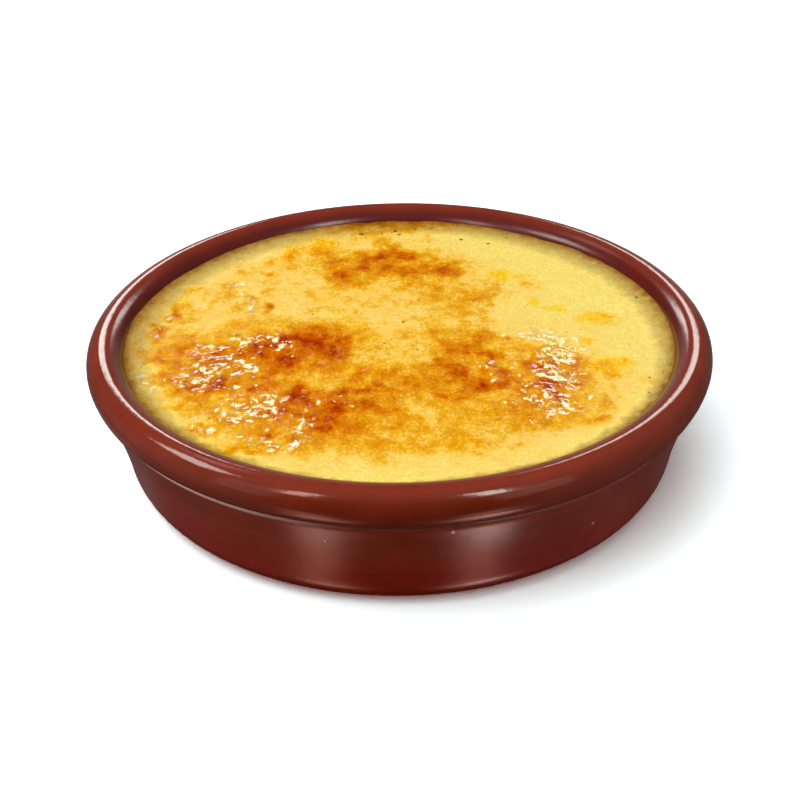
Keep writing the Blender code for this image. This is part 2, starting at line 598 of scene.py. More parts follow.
@dataclass
class Dish:
    """The round dish: a thick rounded rim over a leaning wall, a rounded corner and a flat base."""

    finish: GlazedEarthenware = field(default_factory=GlazedEarthenware)
    rim_radius: float = 65.0 * MM
    height: float = 30.8 * MM
    crest_radius: float = 61.6 * MM
    rim_middle_z: float = 26.8 * MM
    neck: Point2 = (62.5 * MM, 22.7 * MM)
    lip_squareness: float = 1.25
    lip_end_deg: float = 70.0
    ledge_radius: float = 0.8 * MM
    crease_corner: Point2 = (62.3 * MM, 22.5 * MM)
    wall_top: Point2 = (62.32 * MM, 21.7 * MM)
    wall_middle: Point2 = (60.05 * MM, 15.2 * MM)
    foot_radius: float = 58.0 * MM
    base_corner: float = 8.2 * MM
    wall_lean_deg: float = 11.0
    mouth_radius: float = 57.0 * MM
    cavity_middle: Point2 = (55.2 * MM, 18.0 * MM)
    cavity_foot_radius: float = 53.4 * MM
    floor_z: float = 5.0 * MM
    floor_corner: float = 7.0 * MM
    wall_steps: int = 16
    turn_steps: int = 288

    def corner(self) -> list[Point2]:
        """The rounded outer corner.

        Returns:
            Its points, from the flat base up to the foot of the wall.
        """
        lean = math.radians(self.wall_lean_deg)
        centre = (self.foot_radius - self.base_corner * math.cos(lean), self.base_corner)
        return ellipse_arc(centre, (self.base_corner,) * 2, -90, -self.wall_lean_deg, 14)

    def ledge(self) -> list[Point2]:
        """The wall's rounded top edge, under the groove that the turner cut below the lip."""
        centre = (self.wall_top[0] - self.ledge_radius, self.wall_top[1])
        return ellipse_arc(centre, (self.ledge_radius,) * 2, 0, 50, 8)

    def crease(self, lip_end: Point2) -> list[Point2]:
        """The groove between the wall's top edge and the lip's end.

        Args:
            lip_end: The lip's end (r, z).

        Returns:
            Its points, the two ends left out.
        """
        steps = 8
        points = []
        for i in range(1, steps):
            t = i / steps
            ends = zip(self.ledge()[-1], self.crease_corner, lip_end)
            points.append(tuple((1 - t) ** 2 * a + 2 * t * (1 - t) * b + t * t * c for a, b, c in ends))
        return points

    def lip(self) -> list[Point2]:
        """The rim's outer side.

        Returns:
            Its points, from the lip's end up to just under its widest line.
        """
        steps = 16
        points = []
        for i in range(steps):
            angle = math.radians(self.lip_end_deg * (1 - i / steps))
            reach = math.cos(angle) ** self.lip_squareness
            drop = math.sin(angle) ** self.lip_squareness
            r = self.neck[0] + (self.rim_radius - self.neck[0]) * reach
            points.append((r, self.rim_middle_z - (self.rim_middle_z - self.neck[1]) * drop))
        return points

    def rim(self) -> list[Point2]:
        """The rounded rim.

        Returns:
            Its points, from its widest line over the crest to the mouth.
        """
        centre = (self.crest_radius, self.rim_middle_z)
        rise = self.height - self.rim_middle_z
        outer = ellipse_arc(centre, (self.rim_radius - self.crest_radius, rise), 0, 90, 16)
        inner = ellipse_arc(centre, (self.crest_radius - self.mouth_radius, rise), 90, 180, 24)
        return outer + inner[1:]

    def cavity(self) -> list[Point2]:
        """The inner wall and its rounded corner.

        Returns:
            Their points, from just under the mouth to the floor.
        """
        lean = math.radians(self.wall_lean_deg)
        reach = self.cavity_foot_radius - self.floor_corner * math.cos(lean)
        centre = (reach, self.floor_z + self.floor_corner)
        corner = ellipse_arc(centre, (self.floor_corner,) * 2, -self.wall_lean_deg, -90, 8)
        wall = parabola(corner[0], self.cavity_middle, (self.mouth_radius, self.rim_middle_z), 8)
        return wall[::-1] + corner

    def section(self) -> list[Point2]:
        """Half of the dish's section.

        Returns:
            Its points, from the centre of its base round to the centre of its floor.
        """
        corner = self.corner()
        lip = self.lip()
        wall = parabola(corner[-1], self.wall_middle, self.wall_top, self.wall_steps)
        outside = [(0.0, 0.0), (corner[0][0] * 0.5, 0.0), *corner, *wall, *self.ledge()]
        return [*outside, *self.crease(lip[0]), *lip, *self.rim(), *self.cavity(), (0.0, self.floor_z)]

    def build(self) -> bpy.types.Object:
        """Draws the half section point by point from a plane merged to one corner, and spins it.

        Returns:
            The glazed dish.
        """
        section = self.section()
        bpy.ops.object.select_all(action="DESELECT")
        bpy.ops.mesh.primitive_plane_add(size=MM, location=(0.0, 0.0, 0.0))
        dish = bpy.context.object
        start_edit(dish)
        bpy.ops.mesh.merge(type="CENTER")
        for (r, z), (next_r, next_z) in zip(section, section[1:]):
            step = (next_r - r, 0.0, next_z - z)
            bpy.ops.mesh.extrude_vertices_move(TRANSFORM_OT_translate={"value": step})
        bpy.ops.mesh.select_all(action="SELECT")
        bpy.ops.mesh.spin(
            steps=self.turn_steps, angle=2 * math.pi, center=(0.0, 0.0, 0.0), axis=(0.0, 0.0, 1.0)
        )
        bpy.ops.mesh.select_all(action="SELECT")
        bpy.ops.mesh.remove_doubles(threshold=SAME_PLACE)
        end_edit(dish, "dish_glazed", self.finish.build())
        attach(dish, BODY)
        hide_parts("dish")
        return dish

    def wall_point(self, bearing_deg: float, z: float) -> tuple[Vector, Vector]:
        """A point on the outer wall and the direction it faces.

        Args:
            bearing_deg: The angle round the dish, from +X towards +Y.
            z: The point's height, between the corner and the crease.

        Returns:
            The point and the outward normal.
        """
        below, above = (self.wall_radius_at(z + step) for step in (-0.5 * MM, 0.5 * MM))
        radius = self.wall_radius_at(z)
        bearing = math.radians(bearing_deg)
        out = Vector((math.cos(bearing), math.sin(bearing), 0.0))
        normal = (out * MM - Vector((0.0, 0.0, above - below))).normalized()
        return out * radius + Vector((0.0, 0.0, z)), normal

    def wall_radius_at(self, z: float) -> float:
        """The outer wall's radius.

        Args:
            z: A height between the wall's foot and its top.

        Returns:
            The radius there.
        """
        foot = self.corner()[-1]
        wall = parabola(foot, self.wall_middle, self.wall_top, self.wall_steps)
        radii, heights = zip(foot, *wall, self.wall_top)
        return float(np.interp(z, heights, radii))


# ---------------------------------------------------------------- the crust's patches


@dataclass(frozen=True)
class Patch:
    """A soft-edged oval on the crust.

    x, y, half_x and half_y are in millimetres, turn_deg turns it from +X towards +Y, and strength
    is what it adds at its middle.
    """

    x: float
    y: float
    half_x: float
    half_y: float
    strength: float
    turn_deg: float = 0.0
    softness: ClassVar[float] = 1.3

    def at(self, x: np.ndarray, y: np.ndarray) -> np.ndarray:
        """The patch's strength at places.

        Args:
            x: Places along X, in millimetres from the crust's centre.
            y: Places along Y, in millimetres.

        Returns:
            The strength at each place.
        """
        turn = math.radians(self.turn_deg)
        dx, dy = x - self.x, y - self.y
        along = (dx * math.cos(turn) + dy * math.sin(turn)) / self.half_x
        across = (dy * math.cos(turn) - dx * math.sin(turn)) / self.half_y
        return self.strength * np.exp(-((along * along + across * across) ** self.softness))


def patches(*rows: tuple[float, ...]) -> tuple[Patch, ...]:
    """Makes patches of rows of x, y, half_x, half_y, strength and, where it is turned, turn_deg."""
    return tuple(Patch(*row) for row in rows)


def summed(ovals: Iterable[Patch], x: np.ndarray, y: np.ndarray) -> np.ndarray:
    """All the patches together, each filling what the others leave.

    Args:
        ovals: The patches.
        x: Places along X, in millimetres.
        y: Places along Y, in millimetres.

    Returns:
        Their strength at each place, from 0 to 1.
    """
    bare = np.ones_like(x)
    for oval in ovals:
        bare *= 1 - oval.at(x, y)
    return 1 - bare


# Where the hot iron rested: one spot at the front left, then broad glows, then small dark spots.
SCORCHED = patches(
    (-29.5, -44.6, 4, 1.8, 0.2), (0, 34, 16, 9, 0.34), (14, 23, 9, 15, 0.16), (-20, -4, 17, 9, 0.3),
    (-42, -12, 10, 12, 0.22), (-37, -19, 7, 5, 0.2), (-14, -29, 15, 11, 0.3), (-27, -24, 10, 14, 0.16),
    (13, -14, 12, 13, 0.22), (31, -20, 9, 14, 0.3), (3, -22, 16, 8, 0.14), (23, -35, 11, 5, 0.14),
    (-24, -41, 12, 5, 0.1), (0, 55, 24, 5, 0.34), (-52, 8, 4, 14, 0.16), (-20, 0, 6, 4, 0.25),
    (-24, -9, 6, 5, 0.2), (6, 43, 9, 4, 0.08), (20, 20, 6, 4, 0.25), (17.5, -1, 3, 3, 0.25),
    (9, -12, 4, 3, 0.2), (-2, -22, 3, 2, 0.2), (-10, -27, 4, 3, 0.15), (44, 7, 5, 3, 0.2),
    (29, 23, 3, 3, 0.15), (-1, 39.2, 8.5, 3.2, 0.48, -3), (3.6, 37.2, 2.2, 2.8, 0.35),
    (11, 32, 3.6, 4.2, 0.45), (-8, 35.5, 4.2, 4.6, 0.38), (-12.5, 28.5, 3, 5, 0.42, -10),
    (-4, 31.5, 7, 2.4, 0.22), (4, 31, 6, 2.6, 0.25), (-3.8, 46.4, 2.6, 3.6, 0.3, -10),
    (-0.8, 44, 1.6, 3.2, 0.22), (-8, 25.5, 3, 2.4, 0.2), (1.5, 25, 2.6, 3.4, 0.18), (-16, 38, 4, 4, 0.2),
    (-17.5, 2.8, 3.8, 3.6, 0.42), (-14.5, -3.8, 4.6, 4.2, 0.6), (-13.2, -8, 2.6, 3.2, 0.45, 25),
    (-22, -1.5, 4.4, 3, 0.48), (-27.5, -1.2, 3.6, 3.6, 0.55), (-24, -9.5, 4.4, 4.4, 0.42),
    (-30, -5.5, 4.6, 3, 0.38), (-36.5, -2.2, 3.6, 2.2, 0.25), (-44.5, -3.8, 2.4, 1.5, 0.3),
    (-39, -8.5, 3.8, 2.6, 0.45, -20), (-33.5, -14, 1.4, 2.8, 0.42), (-38.5, -14.5, 3, 3.2, 0.28),
    (-36.6, -18.2, 2.4, 1.8, 0.6), (-37, -20.5, 6, 2, 0.32), (-41.5, -21, 2, 1, 0.42),
    (-46.5, -17, 2.6, 2.8, 0.22), (-19.6, -23, 1.9, 3.6, 0.62, 8), (-18.6, -27, 1.8, 2.2, 0.45),
    (-13.8, -28.6, 3.6, 1.9, 0.58), (-12.4, -22.6, 1.2, 2.4, 0.45), (-8, -22.6, 2.8, 1.5, 0.5, -10),
    (-3.8, -20.2, 0.8, 2.6, 0.45, 10), (-6.6, -28, 3.4, 1.8, 0.48, -32), (-3, -29.6, 3.2, 1.3, 0.3, -10),
    (-15, -33, 3.4, 3, 0.36), (-12.5, -37, 4.4, 3, 0.36), (-24.6, -38.8, 2, 1.4, 0.32),
    (-20.3, -38.8, 1.6, 1.4, 0.28), (-25.5, -28, 4.2, 2.6, 0.24), (12.6, -5.6, 3.2, 2.2, 0.42, 15),
    (13.6, -7.4, 1.8, 1.2, 0.38), (17.5, -8.4, 3, 1.6, 0.26), (9.3, -3.2, 1.6, 2.4, 0.3),
    (10.9, -8.8, 0.8, 1, 0.4), (7.6, -11.4, 2.8, 1.8, 0.38), (11.4, -16.6, 2.8, 3.4, 0.34, 20),
    (3, -18.2, 1.9, 1, 0.42, 12), (19, -10.2, 1, 1.8, 0.4), (19, -13.4, 1.5, 1, 0.48),
    (20.8, -17.6, 1.2, 3, 0.58), (19, -21.8, 2.8, 1.6, 0.52, -14), (13.8, -23, 2.4, 2.6, 0.26),
    (17, -23.6, 4, 1.4, 0.24), (11.6, -26.6, 1.8, 1, 0.34), (9.4, -25.2, 0.6, 0.9, 0.44),
    (7.4, -25.7, 0.5, 0.7, 0.34), (30.4, -13.2, 3.4, 3.4, 0.28), (36, -12, 1.7, 3.8, 0.38, -12),
    (30.6, -19.8, 3.4, 2, 0.4), (28.5, -20.5, 2.4, 2.6, 0.36), (31.5, -23.5, 2.6, 2.6, 0.38),
    (30.6, -26.8, 1.7, 2.6, 0.5), (25.4, -21.6, 1.5, 1.8, 0.32), (35.8, -21.4, 1.5, 1.8, 0.34),
    (24, -28.8, 2.4, 1.2, 0.24), (31, -7, 1.8, 1.6, 0.28), (38.2, -34.6, 2.8, 1.2, 0.38, 20),
    (22, -38, 1.6, 2.2, 0.22), (19.2, -41, 1.4, 2, 0.2), (-49.5, -7, 2, 2.8, 0.52),
    (-48.8, -2.6, 2.2, 1.6, 0.26), (-50, 3.2, 1.4, 2.8, 0.46), (-47.8, 11.6, 1.6, 3.2, 0.48, 15),
    (-44.5, 9, 1.8, 1.4, 0.2), (-52.5, 6.5, 1.2, 2.2, 0.3), (-28.3, 13.5, 0.9, 3, 0.48),
    (-31.8, 17, 1, 3.4, 0.26, 10), (-37, 21.8, 1.8, 4.2, 0.28), (-37.5, 27, 1.4, 1.8, 0.2),
    (-28.4, 22.2, 1.5, 1.5, 0.28), (-28.2, 30.4, 2, 1.5, 0.22), (-35.2, 33, 1, 1.2, 0.28),
    (18.6, 17, 3.2, 1.6, 0.32), (20.4, 14.4, 1.2, 1.6, 0.28), (16, 9.8, 2.6, 1.8, 0.24),
    (4.5, 7, 4, 1.6, 0.16), (7.5, 20.5, 2.2, 3.6, 0.17), (23, -2.6, 1.2, 2.6, 0.22), (13, 1, 2.4, 2, 0.22),
    (-39, -36, 3.4, 2.2, 0.3), (-43.6, -27.6, 3.6, 1.5, 0.16),
)

# Where the iron missed.
COOL = patches(
    (28, -41, 12, 6, 0.38), (-22, 14, 5, 5, 0.2), (-5, -3, 5, 7, 0.3), (0, 8, 9, 7, 0.34),
    (-22, 24, 6, 8, 0.2), (9, 42, 10, 4, 0.3), (-32.5, -2.5, 3, 3, 0.2), (35, -24, 4, 4, 0.16),
    (2.5, -8, 7, 5.5, 0.34), (5, -30, 5, 4.5, 0.34), (-40.5, 8, 4.5, 6.5, 0.3), (29.5, -44, 5, 3, 0.4),
)

# Where sugar melted to a film of golden syrup without browning.
GOLDEN = patches(
    (-17.6, 45, 3.4, 3.4, 0.5), (-19, 40.5, 2.2, 2.6, 0.34), (-25, 41, 2, 3.8, 0.46),
    (-29.2, 35.6, 1.6, 2.6, 0.36), (-16, 18, 3, 2.4, 0.16), (22.8, 28, 2.2, 3, 0.4), (28, 27, 2, 1.6, 0.2),
    (42, 7, 4.2, 3.2, 0.36), (42.2, -13.6, 3.8, 3.6, 0.5), (45, -11.4, 2, 1.8, 0.4),
    (42, -17, 1.8, 1.8, 0.46), (38.8, -3, 1.6, 1.4, 0.44), (33.4, 12.2, 1.8, 1.4, 0.36),
    (29.2, 14, 1.2, 2, 0.32), (-45.4, 23.6, 2.4, 2, 0.34), (-47.4, 17.4, 1.6, 2.6, 0.26),
    (36.6, -36.8, 2.6, 1.4, 0.34), (27, -36, 3, 1.6, 0.3), (-30.5, -43.5, 4.4, 2.4, 0.46),
    (-43.5, -27.5, 3, 2.2, 0.28), (-36, -36, 4, 2.2, 0.26), (0, -42, 7, 2.4, 0.22), (12, -43, 5, 2.2, 0.26),
    (-16, -13, 5, 2.6, 0.26), (-6, -15, 6, 2.4, 0.22),
)

# Where the melted sugar stayed glassy and lumpy.
GLASSY = patches(
    (-27, -1, 7, 4.6, 0.95), (-38, -8, 6, 8, 0.75), (-39, -17, 7, 6, 0.8), (-30.5, -11.5, 3, 3, 0.9),
    (-27, -27, 7, 7, 0.9), (-18.5, -35.5, 3, 4, 0.75), (-22, -42, 9, 4, 0.65), (-35, -33, 8, 8, 0.48),
    (-13, -26, 6, 4, 0.45), (-50, 6, 4, 10, 0.38), (-52, -17, 2.6, 7, 0.55), (-32, 15, 10, 10, 0.4),
    (-36, 26, 6, 8, 0.3), (31, -19, 5.5, 9, 0.86), (33, -8, 5.5, 6, 0.69), (31, -30, 5.5, 4, 0.69),
    (18.5, -14, 3.6, 7, 0.56), (24, -26, 5, 6, 0.52), (29, 0, 8, 4, 0.56), (26, -38, 9, 5, 0.39),
    (-6, 33, 12, 6, 0.22), (32, 16, 10, 9, 0.24), (44, -6, 8, 16, 0.21),
)

# Painted glints: spots painted near-white with amber fringes where the glassy sugar catches the lamps, each
# also raised as a small lump in the crust.
GLINT_SPOTS = patches(
    (-18.5, 22, 1.4, 0.8, 0.8), (-32, 14.4, 0.9, 1.4, 0.8), (22.2, -0.6, 1.2, 0.8, 0.8, 20),
    (21, -2.6, 0.6, 1.2, 0.7, -25), (27.6, -1.4, 1.2, 2, 0.5), (30.4, -0.8, 0.7, 1.6, 0.8, 10),
    (32.2, -2.2, 1.2, 1.2, 1), (30.6, -4.2, 1.6, 0.7, 0.8, 25), (36.6, -2.8, 0.8, 2.4, 0.8),
    (38, -6.8, 0.7, 1.8, 1, -35), (32, -8.6, 1, 0.7, 0.8), (33.4, -9.4, 0.6, 1.2, 0.8, -20),
    (31.4, -11, 1.6, 0.9, 0.8, -30), (28.4, -12.4, 1.3, 0.8, 0.9), (34.4, -12, 1.2, 1.5, 1),
    (32.4, -13, 0.6, 0.9, 0.8), (30.4, -14.3, 1.2, 0.6, 0.9), (23, -13.2, 0.6, 2, 0.9, -8),
    (17, -14, 1.2, 0.9, 0.8), (28.2, -17.4, 1.1, 0.8, 1), (29.8, -18.4, 1.4, 0.7, 1, -25),
    (31, -16.4, 1.2, 0.6, 0.9), (31.8, -18.6, 1.4, 0.9, 1, -35), (32.7, -19.9, 1, 0.8, 1, -20),
    (33, -15.6, 1, 0.8, 0.6), (24, -17.6, 0.7, 0.8, 0.9), (18.8, -19.4, 1.2, 0.6, 0.9, 45),
    (17.8, -17, 1.2, 0.5, 0.6, -40), (35, -20.4, 0.9, 0.6, 0.7), (24.3, -22.7, 0.8, 1.3, 1, -15),
    (22.2, -21.6, 0.6, 1, 0.7), (29, -25.4, 1, 0.9, 1), (25, -26.7, 1.4, 0.6, 0.9, -15),
    (26.8, -26.6, 0.7, 1.7, 1, 20), (28, -28.6, 0.5, 1.2, 0.7, 20), (22, -28.9, 0.9, 1.1, 1),
    (20.4, -27.4, 0.5, 1.2, 0.7), (32, -29, 0.6, 2, 0.9, 20), (36.9, -26.9, 0.8, 1.5, 1, -30),
    (34.4, -28.4, 0.9, 0.6, 0.8), (31.4, -32.2, 1.5, 0.9, 1), (33.2, -31, 0.6, 0.9, 0.7),
    (28.2, -33.8, 0.8, 0.7, 0.8), (25.2, -35.8, 0.5, 1.5, 0.7, 10), (30, -36, 0.4, 1.6, 0.7),
    (28.6, -37.4, 0.8, 0.5, 0.6), (17.2, -37.8, 0.5, 1.2, 0.7), (19, -39.4, 0.6, 1.2, 0.7),
    (25.6, -40.6, 0.6, 1.2, 0.6), (12.9, -11.8, 0.4, 1.1, 0.7), (9.8, -20.6, 0.4, 0.8, 0.6),
    (4.4, -23, 0.6, 0.6, 0.6), (-9.2, -28.4, 0.6, 1.4, 0.6, 20), (-11.8, -24.2, 0.5, 1.2, 0.9, -10),
    (-16.2, -26.7, 0.6, 1, 0.9), (-18.4, -29.2, 0.5, 0.8, 0.8), (-20.6, -28.6, 0.7, 0.8, 0.6),
    (-27.2, -0.4, 1.8, 1.2, 1, -20), (-24.2, -2.8, 0.7, 1.5, 1, -20), (-22.2, -3.6, 0.5, 1.2, 1, -15),
    (-25.2, -4.8, 0.8, 0.8, 0.6), (-32.6, -2.4, 1, 1.5, 1), (-34.4, -0.4, 1.4, 1, 0.9),
    (-31.4, -0.4, 1, 0.8, 0.7), (-39.2, -4, 0.8, 1.3, 0.7), (-36.4, -4.2, 0.9, 0.7, 0.8),
    (-22, -7.2, 0.5, 0.6, 0.7), (-30, -8.2, 1.2, 0.6, 0.6, 20), (-32.2, -9.8, 0.8, 0.8, 1),
    (-31, -11.2, 0.9, 1.4, 1, -20), (-29.6, -13, 0.9, 1.2, 1, -20), (-38.4, -8.4, 1.2, 0.7, 0.6),
    (-40.2, -6.6, 1.2, 0.6, 0.7, 10), (-41.4, -11.2, 0.6, 1.4, 0.7), (-40, -12.4, 0.8, 0.9, 0.9),
    (-38.4, -13.8, 1.3, 0.6, 0.7, 20), (-36.6, -14.6, 1, 0.6, 0.7), (-27.8, -16, 1.5, 0.6, 0.6, 40),
    (-28.6, -19, 0.5, 0.7, 0.8), (-40.8, -17.8, 0.8, 0.9, 0.9), (-38.6, -17.2, 0.8, 0.7, 0.7, 30),
    (-44, -19.4, 0.6, 0.9, 0.8, -20), (-47.4, -17.2, 0.6, 0.9, 0.8), (-39.4, -21.4, 0.9, 0.6, 0.8, 20),
    (-32.6, -19.8, 0.7, 1.3, 1), (-33.8, -22.6, 0.5, 0.8, 0.6), (-28.6, -24.6, 0.5, 1.6, 1, 25),
    (-26.6, -23.2, 1.2, 0.5, 0.8, 10), (-24.6, -23.8, 0.8, 0.7, 0.7), (-25.6, -25.8, 0.8, 1.5, 1),
    (-24.6, -29, 0.6, 1.2, 0.9), (-26, -31, 1.3, 0.5, 0.9, 20), (-25.8, -28.2, 1.2, 0.4, 0.7),
    (-29, -30.4, 0.8, 1.2, 0.9, 20), (-35.6, -28.6, 0.5, 1.5, 0.8, -20), (-34.2, -30.6, 0.5, 1, 0.7),
    (-32.2, -29.8, 0.8, 0.8, 0.9), (-32.6, -26.6, 0.5, 0.7, 0.7), (-18.8, -33.6, 0.5, 1.5, 0.9, -25),
    (-19, -36, 0.5, 1.2, 0.9), (-18.4, -37.8, 1.3, 0.4, 0.9, 20), (-25.6, -37, 0.6, 0.9, 0.8),
    (-24.6, -41.2, 1.3, 0.5, 1, 5), (-23.4, -42.6, 0.6, 1.4, 1), (-24.2, -44.4, 0.8, 0.6, 0.9, 40),
    (-30.4, -38.9, 1, 0.6, 0.8), (-29.2, -40.4, 0.6, 1.2, 0.8), (-34, -37.8, 0.7, 1, 0.8),
    (-37.6, -38.6, 0.5, 0.8, 0.7), (-39.9, -35, 0.5, 1, 0.7), (-19.4, -42.4, 0.5, 1.2, 0.6),
    (-14, -42.8, 0.7, 1.4, 0.5), (-11.4, -31.8, 0.4, 0.8, 0.6), (-50.2, -0.6, 0.6, 2, 0.6),
    (-53, -16.8, 1, 2.4, 0.5, 20), (-49.6, -20, 0.8, 2, 0.5), (-51.8, -15.6, 1.6, 1, 0.7),
    (-49, -20.4, 0.8, 1.4, 0.8), (37.6, 42, 0.8, 0.9, 0.6), (41.8, 37.4, 1, 1.2, 0.8),
    (44.6, 33.4, 1.2, 1.4, 0.9), (46.2, 30.4, 0.8, 1, 0.7), (48, 25.6, 0.6, 1, 0.6),
    (53.4, 14.6, 0.6, 1.2, 0.6), (52.8, 9, 1, 1.4, 0.9), (53, 3.4, 0.7, 1.4, 0.7),
    (52.8, -2.4, 0.6, 1.2, 0.6),
)

# Swells shared with the solid: height, bearing, waves across the dish, phase.
SWELLS = (
    (0.16, 20.0, 1.3, 0.6),
    (0.13, 75.0, 2.1, 2.2),
    (0.10, 130.0, 2.9, 4.0),
    (0.08, 165.0, 3.7, 1.1),
)


def cloudy(x: np.ndarray, y: np.ndarray, size: float, seed: float, octaves: int = 3) -> np.ndarray:
    """Layered noise over the crust, about -1 to 1.

    Args:
        x: Places along X, in millimetres.
        y: Places along Y, in millimetres.
        size: The width of its largest features, in millimetres.
        seed: Picks one noise among many.
        octaves: How many layers, each half as wide as the one before.

    Returns:
        The noise at each place.
    """
    places = zip((x / size).tolist(), (y / size).tolist())
    return np.array([noise.fractal((u, v, seed), 1.0, 2.0, octaves) for u, v in places])


def eased(low: float, high: float, values: np.ndarray) -> np.ndarray:
    """Eases from 0 at low to 1 at high, for many values."""
    t = np.clip((values - low) / (high - low), 0.0, 1.0)
    return t * t * (3 - 2 * t)


@dataclass
class Crust:
    """The crust's fields over the level: how hot it got, how glassy, pale and near the wall, how high."""

    radius_mm: float = 57.3
    level_mm: float = 27.85
    meniscus_mm: float = 0.35
    meniscus_width_mm: float = 2.5
    swell_span_mm: float = 114.0
    wander_mm: float = 1.6
    base_heat: float = 0.27
    front_heat: float = 0.12
    heat_gain: float = 1.09
    golden_browning: float = 0.25
    even_raggedness: float = 0.07
    burnt_raggedness: float = 0.11
    glint_gain: float = 0.92
    # How wide the painted shade by the wall reaches, wider at the back and left and narrower at the front.
    shade_mm: float = 5.0
    shade_back_left: float = 0.60
    shade_front: float = 0.52
    golden_syrup: float = 3.4
    pooled_syrup: float = 0.8
    roll_mm: float = 0.10
    pebble_mm: float = 0.07
    lump_mm: float = 0.16
    blister_mm: float = 0.10
    grain_mm: float = 0.04
    glint_lump_mm: float = 0.12

    def layers(self, x: np.ndarray, y: np.ndarray) -> dict[CrustLayer, np.ndarray]:
        """Measures the crust at places.

        Args:
            x: Places along X, in millimetres.
            y: Places along Y, in millimetres.

        Returns:
            Each layer's value at each place, from 0 to 1.
        """
        wander_x = self.wander_mm * cloudy(x, y, 4.0, 3.1)
        wander_y = self.wander_mm * cloudy(x, y, 4.0, 8.7)
        wx, wy = x + wander_x, y + wander_y
        reach = np.hypot(x, y)
        pale = self.pale(x, y, reach)
        golden = summed(GOLDEN, wx, wy)
        cover = 1 - (1 - summed(SCORCHED, wx, wy)) * (1 - self.golden_browning * golden)
        base = (self.base_heat + self.front_heat * eased(-25.0, 20.0, -0.9 * y - 0.2 * x)) * (1 - 0.85 * pale)
        ragged = 0.7 * cloudy(x, y, 3.4, 2.4, 4) + 0.6 * cloudy(x, y, 1.5, 5.5, 3)
        heat = self.heat_gain * (base + (1 - base) * cover) * (1 - summed(COOL, wx, wy))
        heat += (self.even_raggedness + self.burnt_raggedness * eased(0.0, 0.4, cover)) * ragged
        melt = summed(GLASSY, wx, wy) * (1.0 + 0.5 * cloudy(x, y, 3.0, 6.6))
        # Painted glint spots, also raised as small lumps in the heights.
        glint_lumps = self.glint_gain * summed(GLINT_SPOTS, x + 0.25 * wander_x, y + 0.25 * wander_y)
        glint_lumps = glint_lumps * (1.15 - 2.2 * np.abs(cloudy(x, y, 1.4, 3.3, 2)))
        # Painted shade by the wall: a band wider at the back and left, where the rim shades the custard,
        # narrower at the front.
        width = 1 + self.shade_back_left * np.clip(np.maximum(-x, y) / self.radius_mm, 0.0, 1.0)
        width *= 1 - self.shade_front * np.clip(-1.4 * y / self.radius_mm, 0.0, 1.0)
        edge = 1 - (self.radius_mm - reach + 0.9 * cloudy(x, y, 2.2, 4.9)) / (self.shade_mm * width)
        pools = eased(0.0, 0.4, cloudy(x, y, 5.0, 12.2)) * eased(0.15, 0.5, heat) * (1 - 0.7 * pale)
        syrup = np.maximum(self.golden_syrup * golden, self.pooled_syrup * pools) * (1.0 + 0.5 * ragged)
        values = (heat, melt, pale, edge, glint_lumps, syrup)
        return {kind: np.clip(value, 0.0, 1.0) for kind, value in zip(CrustLayer, values)}

    def pale(self, x: np.ndarray, y: np.ndarray, reach: np.ndarray) -> np.ndarray:
        """How pale the cream is: over the back right, along the front edge and by the wall.

        Args:
            x: Places along X, in millimetres.
            y: Places along Y, in millimetres.
            reach: How far the places are from the centre, in millimetres.

        Returns:
            The paleness at each place, from 0 to 1.
        """
        side = eased(8.0, 42.0, 0.85 * x + 0.5 * y)
        front = eased(42.0, 52.0, -y) * 0.8
        edge = eased(46.0, 56.0, reach) * 0.9
        return np.clip(np.maximum(np.maximum(side, front), edge) + 0.25 * cloudy(x, y, 9.0, 7.7), 0.0, 1.0)

    def swell(self, x: np.ndarray, y: np.ndarray) -> np.ndarray:
        """The low swells.

        Args:
            x: Places along X, in millimetres.
            y: Places along Y, in millimetres.

        Returns:
            Their height at each place, in millimetres.
        """
        height = np.zeros_like(x)
        for size, bearing_deg, waves, phase in SWELLS:
            bearing = math.radians(bearing_deg)
            along = (x * math.cos(bearing) + y * math.sin(bearing)) / self.swell_span_mm
            height += size * np.sin(2 * math.pi * waves * along + phase)
        return height

    def heights(self, x: np.ndarray, y: np.ndarray, layers: dict[CrustLayer, np.ndarray]) -> np.ndarray:
        """The crust's height over the dish's base, in millimetres.

        Args:
            x: Places along X, in millimetres.
            y: Places along Y, in millimetres.
            layers: The crust measured at the same places.

        Returns:
            The height at each place.
        """
        melt, heat = layers[CrustLayer.MELT], layers[CrustLayer.HEAT]
        climb = np.clip(1 - (self.radius_mm - np.hypot(x, y)) / self.meniscus_width_mm, 0.0, 1.0) ** 2
        bearing = np.arctan2(y, x)
        ragged = 1 + 0.5 * cloudy(9 * np.cos(bearing), 9 * np.sin(bearing), 1.0, 4.4)
        lumps = self.lump_mm * cloudy(x, y, 3.2, 9.1, 2) * (0.3 + melt)
        blisters = self.blister_mm * np.maximum(0.0, cloudy(x, y, 1.3, 2.9, 2)) * heat * (1 - 0.8 * melt)
        grain = self.grain_mm * cloudy(x, y, 0.9, 5.0, 2) * (1 - 0.8 * melt)
        glint_lumps = self.glint_lump_mm * layers[CrustLayer.GLINT_LUMPS]
        pebbles = self.pebble_mm * cloudy(x, y, 2.4, 13.1, 2)
        rolls = self.swell(x, y) + self.roll_mm * cloudy(x, y, 7.0, 0.7)
        relief = rolls + pebbles + lumps + blisters + grain + glint_lumps
        return self.level_mm + self.meniscus_mm * climb * ragged + (1 - 0.7 * climb) * relief


